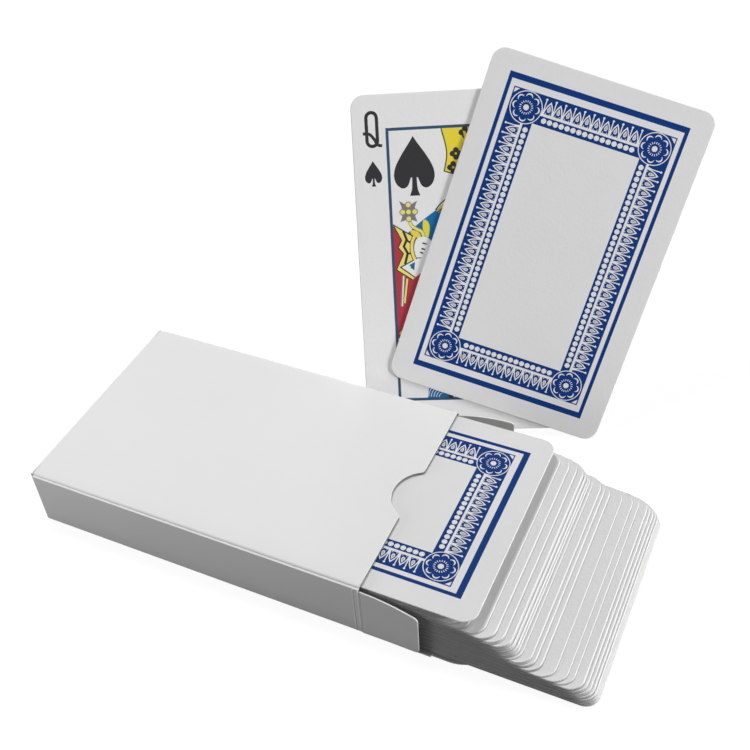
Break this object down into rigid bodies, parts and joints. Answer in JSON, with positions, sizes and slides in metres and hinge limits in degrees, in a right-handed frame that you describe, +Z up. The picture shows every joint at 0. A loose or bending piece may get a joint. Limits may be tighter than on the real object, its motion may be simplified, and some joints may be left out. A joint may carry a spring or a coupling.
{
  "type": "playing card deck",
  "caption": "Playing cards with a blue border back, fanned out of a plain white tuck carton with an open lid, dust flaps and thumb notch, and loose cards standing behind it.",
  "frame": {"origin": "centre of the carton's back panel, on the surface it lies on", "axes": "+Z up through the carton's front panel, +X out of the carton's mouth, along the way that the cards slide"},
  "size_m": [0.1433, 0.1245, 0.0872],
  "materials": {
    "carton_board": "white coated board, satin outside",
    "card_stock": "coated white card with a fine embossed sheen"
  },
  "bodies": {
    "carton": {"front_panel": "carton_board", "back_panel": "carton_board", "near_side_wall": "carton_board", "far_side_wall": "carton_board", "glue_flap": "carton_board", "end_outer_flap": "carton_board", "end_inner_flap": "carton_board", "end_flap_near": "carton_board", "end_flap_far": "carton_board"},
    "lid": {"lid_panel": "carton_board"},
    "tongue": {"tuck_tongue": "carton_board"},
    "near_dust_flap": {"dust_flap_near": "carton_board"},
    "far_dust_flap": {"dust_flap_far": "carton_board"},
    "queen_card": {"queen_card": "card_stock"},
    "turned_card": {"turned_card": "card_stock"},
    "card_01": {"card_01": "card_stock"},
    "card_02": {"card_02": "card_stock"},
    "card_03": {"card_03": "card_stock"},
    "card_04": {"card_04": "card_stock"},
    "card_05": {"card_05": "card_stock"},
    "card_06": {"card_06": "card_stock"},
    "card_07": {"card_07": "card_stock"},
    "card_08": {"card_08": "card_stock"},
    "card_09": {"card_09": "card_stock"},
    "card_10": {"card_10": "card_stock"},
    "card_11": {"card_11": "card_stock"},
    "card_12": {"card_12": "card_stock"},
    "card_13": {"card_13": "card_stock"},
    "card_14": {"card_14": "card_stock"},
    "card_15": {"card_15": "card_stock"},
    "card_16": {"card_16": "card_stock"},
    "card_17": {"card_17": "card_stock"},
    "card_18": {"card_18": "card_stock"},
    "card_19": {"card_19": "card_stock"},
    "card_20": {"card_20": "card_stock"},
    "card_21": {"card_21": "card_stock"},
    "card_22": {"card_22": "card_stock"},
    "card_23": {"card_23": "card_stock"},
    "card_24": {"card_24": "card_stock"},
    "card_25": {"card_25": "card_stock"},
    "card_26": {"card_26": "card_stock"},
    "card_27": {"card_27": "card_stock"},
    "card_28": {"card_28": "card_stock"},
    "card_29": {"card_29": "card_stock"},
    "card_30": {"card_30": "card_stock"},
    "card_31": {"card_31": "card_stock"},
    "card_32": {"card_32": "card_stock"},
    "card_33": {"card_33": "card_stock"},
    "card_34": {"card_34": "card_stock"},
    "card_35": {"card_35": "card_stock"},
    "card_36": {"card_36": "card_stock"},
    "card_37": {"card_37": "card_stock"},
    "card_38": {"card_38": "card_stock"},
    "card_39": {"card_39": "card_stock"},
    "card_40": {"card_40": "card_stock"},
    "card_41": {"card_41": "card_stock"},
    "card_42": {"card_42": "card_stock"},
    "card_43": {"card_43": "card_stock"},
    "card_44": {"card_44": "card_stock"},
    "bottom_packet": {"bottom_packet": "card_stock"}
  },
  "joints": [
    {"name": "lid_fold", "type": "hinge", "parent": "carton", "child": "lid", "pos_m": [0.0448, 0, 0], "axis": [0, -1, 0], "range_deg": [-90, 0]},
    {"name": "lid_tongue_fold", "type": "hinge", "parent": "lid", "child": "tongue", "pos_m": [0.0614, 0, 0], "axis": [0, -1, 0], "range_deg": [-90, 0]},
    {"name": "dust_flap_near_fold", "type": "hinge", "parent": "carton", "child": "near_dust_flap", "pos_m": [0.0448, -0.0295, 0.0084], "axis": [0, 0, -1], "range_deg": [-1, 100]},
    {"name": "dust_flap_far_fold", "type": "hinge", "parent": "carton", "child": "far_dust_flap", "pos_m": [0.0448, 0.0295, 0.0084], "axis": [0, 0, 1], "range_deg": [-20, 25]},
    {"name": "loose_queen_lift", "type": "slide", "parent": "carton", "child": "queen_card", "axis": [-0.2074, 0.4369, 0.8753], "range_m": [0, 0.1]},
    {"name": "loose_turned_lift", "type": "slide", "parent": "carton", "child": "turned_card", "axis": [0.1325, 0.5343, 0.8348], "range_m": [0, 0.1]},
    {"name": "slide_card_01", "type": "slide", "parent": "carton", "child": "card_01", "axis": [1, 0, 0], "range_m": [-0.0262, 0.0628]},
    {"name": "slide_card_02", "type": "slide", "parent": "carton", "child": "card_02", "axis": [1, 0, 0], "range_m": [-0.02182, 0.06718]},
    {"name": "slide_card_03", "type": "slide", "parent": "carton", "child": "card_03", "axis": [1, 0, 0], "range_m": [-0.02192, 0.06708]},
    {"name": "slide_card_04", "type": "slide", "parent": "carton", "child": "card_04", "axis": [1, 0, 0], "range_m": [-0.02202, 0.06698]},
    {"name": "slide_card_05", "type": "slide", "parent": "carton", "child": "card_05", "axis": [1, 0, 0], "range_m": [-0.02212, 0.06688]},
    {"name": "slide_card_06", "type": "slide", "parent": "carton", "child": "card_06", "axis": [1, 0, 0], "range_m": [-0.02072, 0.06828]},
    {"name": "slide_card_07", "type": "slide", "parent": "carton", "child": "card_07", "axis": [1, 0, 0], "range_m": [-0.02082, 0.06818]},
    {"name": "slide_card_08", "type": "slide", "parent": "carton", "child": "card_08", "axis": [1, 0, 0], "range_m": [-0.02092, 0.06808]},
    {"name": "slide_card_09", "type": "slide", "parent": "carton", "child": "card_09", "axis": [1, 0, 0], "range_m": [-0.02264, 0.06636]},
    {"name": "slide_card_10", "type": "slide", "parent": "carton", "child": "card_10", "axis": [1, 0, 0], "range_m": [-0.02274, 0.06626]},
    {"name": "slide_card_11", "type": "slide", "parent": "carton", "child": "card_11", "axis": [1, 0, 0], "range_m": [-0.02456, 0.06444]},
    {"name": "slide_card_12", "type": "slide", "parent": "carton", "child": "card_12", "axis": [1, 0, 0], "range_m": [-0.02798, 0.06102]},
    {"name": "slide_card_13", "type": "slide", "parent": "carton", "child": "card_13", "axis": [1, 0, 0], "range_m": [-0.03031, 0.05869]},
    {"name": "slide_card_14", "type": "slide", "parent": "carton", "child": "card_14", "axis": [1, 0, 0], "range_m": [-0.03041, 0.05859]},
    {"name": "slide_card_15", "type": "slide", "parent": "carton", "child": "card_15", "axis": [1, 0, 0], "range_m": [-0.03223, 0.05677]},
    {"name": "slide_card_16", "type": "slide", "parent": "carton", "child": "card_16", "axis": [1, 0, 0], "range_m": [-0.03233, 0.05667]},
    {"name": "slide_card_17", "type": "slide", "parent": "carton", "child": "card_17", "axis": [1, 0, 0], "range_m": [-0.03387, 0.05513]},
    {"name": "slide_card_18", "type": "slide", "parent": "carton", "child": "card_18", "axis": [1, 0, 0], "range_m": [-0.03397, 0.05503]},
    {"name": "slide_card_19", "type": "slide", "parent": "carton", "child": "card_19", "axis": [1, 0, 0], "range_m": [-0.03407, 0.05493]},
    {"name": "slide_card_20", "type": "slide", "parent": "carton", "child": "card_20", "axis": [1, 0, 0], "range_m": [-0.03456, 0.05444]},
    {"name": "slide_card_21", "type": "slide", "parent": "carton", "child": "card_21", "axis": [1, 0, 0], "range_m": [-0.03466, 0.05434]},
    {"name": "slide_card_22", "type": "slide", "parent": "carton", "child": "card_22", "axis": [1, 0, 0], "range_m": [-0.03476, 0.05424]},
    {"name": "slide_card_23", "type": "slide", "parent": "carton", "child": "card_23", "axis": [1, 0, 0], "range_m": [-0.03524, 0.05376]},
    {"name": "slide_card_24", "type": "slide", "parent": "carton", "child": "card_24", "axis": [1, 0, 0], "range_m": [-0.03534, 0.05366]},
    {"name": "slide_card_25", "type": "slide", "parent": "carton", "child": "card_25", "axis": [1, 0, 0], "range_m": [-0.03565, 0.05335]},
    {"name": "slide_card_26", "type": "slide", "parent": "carton", "child": "card_26", "axis": [1, 0, 0], "range_m": [-0.03575, 0.05325]},
    {"name": "slide_card_27", "type": "slide", "parent": "carton", "child": "card_27", "axis": [1, 0, 0], "range_m": [-0.03648, 0.05253]},
    {"name": "slide_card_28", "type": "slide", "parent": "carton", "child": "card_28", "axis": [1, 0, 0], "range_m": [-0.03853, 0.05047]},
    {"name": "slide_card_29", "type": "slide", "parent": "carton", "child": "card_29", "axis": [1, 0, 0], "range_m": [-0.03863, 0.05037]},
    {"name": "slide_card_30", "type": "slide", "parent": "carton", "child": "card_30", "axis": [1, 0, 0], "range_m": [-0.03949, 0.04951]},
    {"name": "slide_card_31", "type": "slide", "parent": "carton", "child": "card_31", "axis": [1, 0, 0], "range_m": [-0.03959, 0.04941]},
    {"name": "slide_card_32", "type": "slide", "parent": "carton", "child": "card_32", "axis": [1, 0, 0], "range_m": [-0.04086, 0.04814]},
    {"name": "slide_card_33", "type": "slide", "parent": "carton", "child": "card_33", "axis": [1, 0, 0], "range_m": [-0.04096, 0.04804]},
    {"name": "slide_card_34", "type": "slide", "parent": "carton", "child": "card_34", "axis": [1, 0, 0], "range_m": [-0.04401, 0.04499]},
    {"name": "slide_card_35", "type": "slide", "parent": "carton", "child": "card_35", "axis": [1, 0, 0], "range_m": [-0.04661, 0.04239]},
    {"name": "slide_card_36", "type": "slide", "parent": "carton", "child": "card_36", "axis": [1, 0, 0], "range_m": [-0.04812, 0.04088]},
    {"name": "slide_card_37", "type": "slide", "parent": "carton", "child": "card_37", "axis": [1, 0, 0], "range_m": [-0.05017, 0.03882]},
    {"name": "slide_card_38", "type": "slide", "parent": "carton", "child": "card_38", "axis": [1, 0, 0], "range_m": [-0.05028, 0.03873]},
    {"name": "slide_card_39", "type": "slide", "parent": "carton", "child": "card_39", "axis": [1, 0, 0], "range_m": [-0.051, 0.038]},
    {"name": "slide_card_40", "type": "slide", "parent": "carton", "child": "card_40", "axis": [1, 0, 0], "range_m": [-0.0511, 0.0379]},
    {"name": "slide_card_41", "type": "slide", "parent": "carton", "child": "card_41", "axis": [1, 0, 0], "range_m": [-0.05182, 0.03718]},
    {"name": "slide_card_42", "type": "slide", "parent": "carton", "child": "card_42", "axis": [1, 0, 0], "range_m": [-0.05192, 0.03708]},
    {"name": "slide_card_43", "type": "slide", "parent": "carton", "child": "card_43", "axis": [1, 0, 0], "range_m": [-0.0525, 0.0365]},
    {"name": "slide_card_44", "type": "slide", "parent": "carton", "child": "card_44", "axis": [1, 0, 0], "range_m": [-0.0526, 0.0364]},
    {"name": "slide_bottom_packet", "type": "slide", "parent": "carton", "child": "bottom_packet", "axis": [1, 0, 0], "range_m": [-0.05305, 0.03595]}
  ]
}
